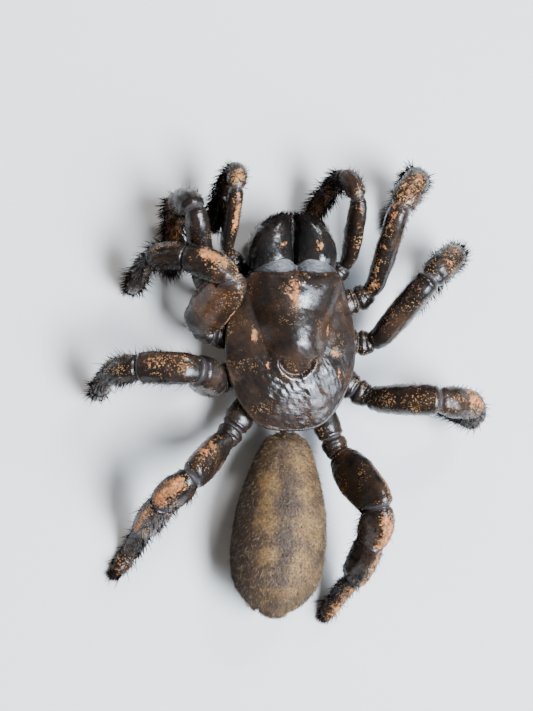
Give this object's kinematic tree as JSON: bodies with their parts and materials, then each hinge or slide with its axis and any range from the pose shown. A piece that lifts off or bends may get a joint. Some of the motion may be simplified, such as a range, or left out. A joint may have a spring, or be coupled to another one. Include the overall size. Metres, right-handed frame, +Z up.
{
  "type": "trapdoor spider",
  "caption": "Life-size trapdoor spider at rest: domed shield, thick jaws, egg-shaped abdomen, legs drawn up with the feet tucked under.",
  "frame": {"origin": "on the floor, under the middle of the spider's whole footprint", "axes": "+Y towards the spider's front, +X towards its right, +Z up from the floor"},
  "size_m": [0.026, 0.0286, 0.008],
  "materials": {
    "body_cuticle": "glossy dark brown cuticle",
    "limb_cuticle": "glossy dark brown cuticle with fine hairs",
    "velvet": "velvety short hair",
    "membrane": "soft pale membrane",
    "fang": "polished horn"
  },
  "bodies": {
    "root": {"abdomen": "velvet", "carapace": "body_cuticle", "chelicera_left": "body_cuticle", "chelicera_right": "body_cuticle", "cheliceral_membrane": "membrane", "fang_left": "fang", "fang_right": "fang", "labium": "body_cuticle", "leg1_left_coxa": "limb_cuticle", "leg1_left_femur": "limb_cuticle", "leg1_left_foot": "limb_cuticle", "leg1_left_patella": "limb_cuticle", "leg1_left_tibia": "limb_cuticle", "leg1_right_coxa": "limb_cuticle", "leg1_right_femur": "limb_cuticle", "leg1_right_foot": "limb_cuticle", "leg1_right_patella": "limb_cuticle", "leg1_right_tibia": "limb_cuticle", "leg2_left_coxa": "limb_cuticle", "leg2_left_femur": "limb_cuticle", "leg2_left_foot": "limb_cuticle", "leg2_left_patella": "limb_cuticle", "leg2_left_tibia": "limb_cuticle", "leg2_right_coxa": "limb_cuticle", "leg2_right_femur": "limb_cuticle", "leg2_right_foot": "limb_cuticle", "leg2_right_patella": "limb_cuticle", "leg2_right_tibia": "limb_cuticle", "leg3_left_coxa": "limb_cuticle", "leg3_left_femur": "limb_cuticle", "leg3_left_foot": "limb_cuticle", "leg3_left_patella": "limb_cuticle", "leg3_left_tibia": "limb_cuticle", "leg3_right_coxa": "limb_cuticle", "leg3_right_femur": "limb_cuticle", "leg3_right_foot": "limb_cuticle", "leg3_right_patella": "limb_cuticle", "leg3_right_tibia": "limb_cuticle", "leg4_left_coxa": "limb_cuticle", "leg4_left_femur": "limb_cuticle", "leg4_left_foot": "limb_cuticle", "leg4_left_patella": "limb_cuticle", "leg4_left_tibia": "limb_cuticle", "leg4_right_coxa": "limb_cuticle", "leg4_right_femur": "limb_cuticle", "leg4_right_foot": "limb_cuticle", "leg4_right_patella": "limb_cuticle", "leg4_right_tibia": "limb_cuticle", "palp_left_coxa": "limb_cuticle", "palp_left_femur": "limb_cuticle", "palp_left_foot": "limb_cuticle", "palp_left_patella": "limb_cuticle", "palp_right_coxa": "limb_cuticle", "palp_right_femur": "limb_cuticle", "palp_right_foot": "limb_cuticle", "palp_right_patella": "limb_cuticle", "pedicel": "membrane", "spinneret_left": "velvet", "spinneret_right": "velvet", "sternum": "body_cuticle"}
  },
  "joints": []
}
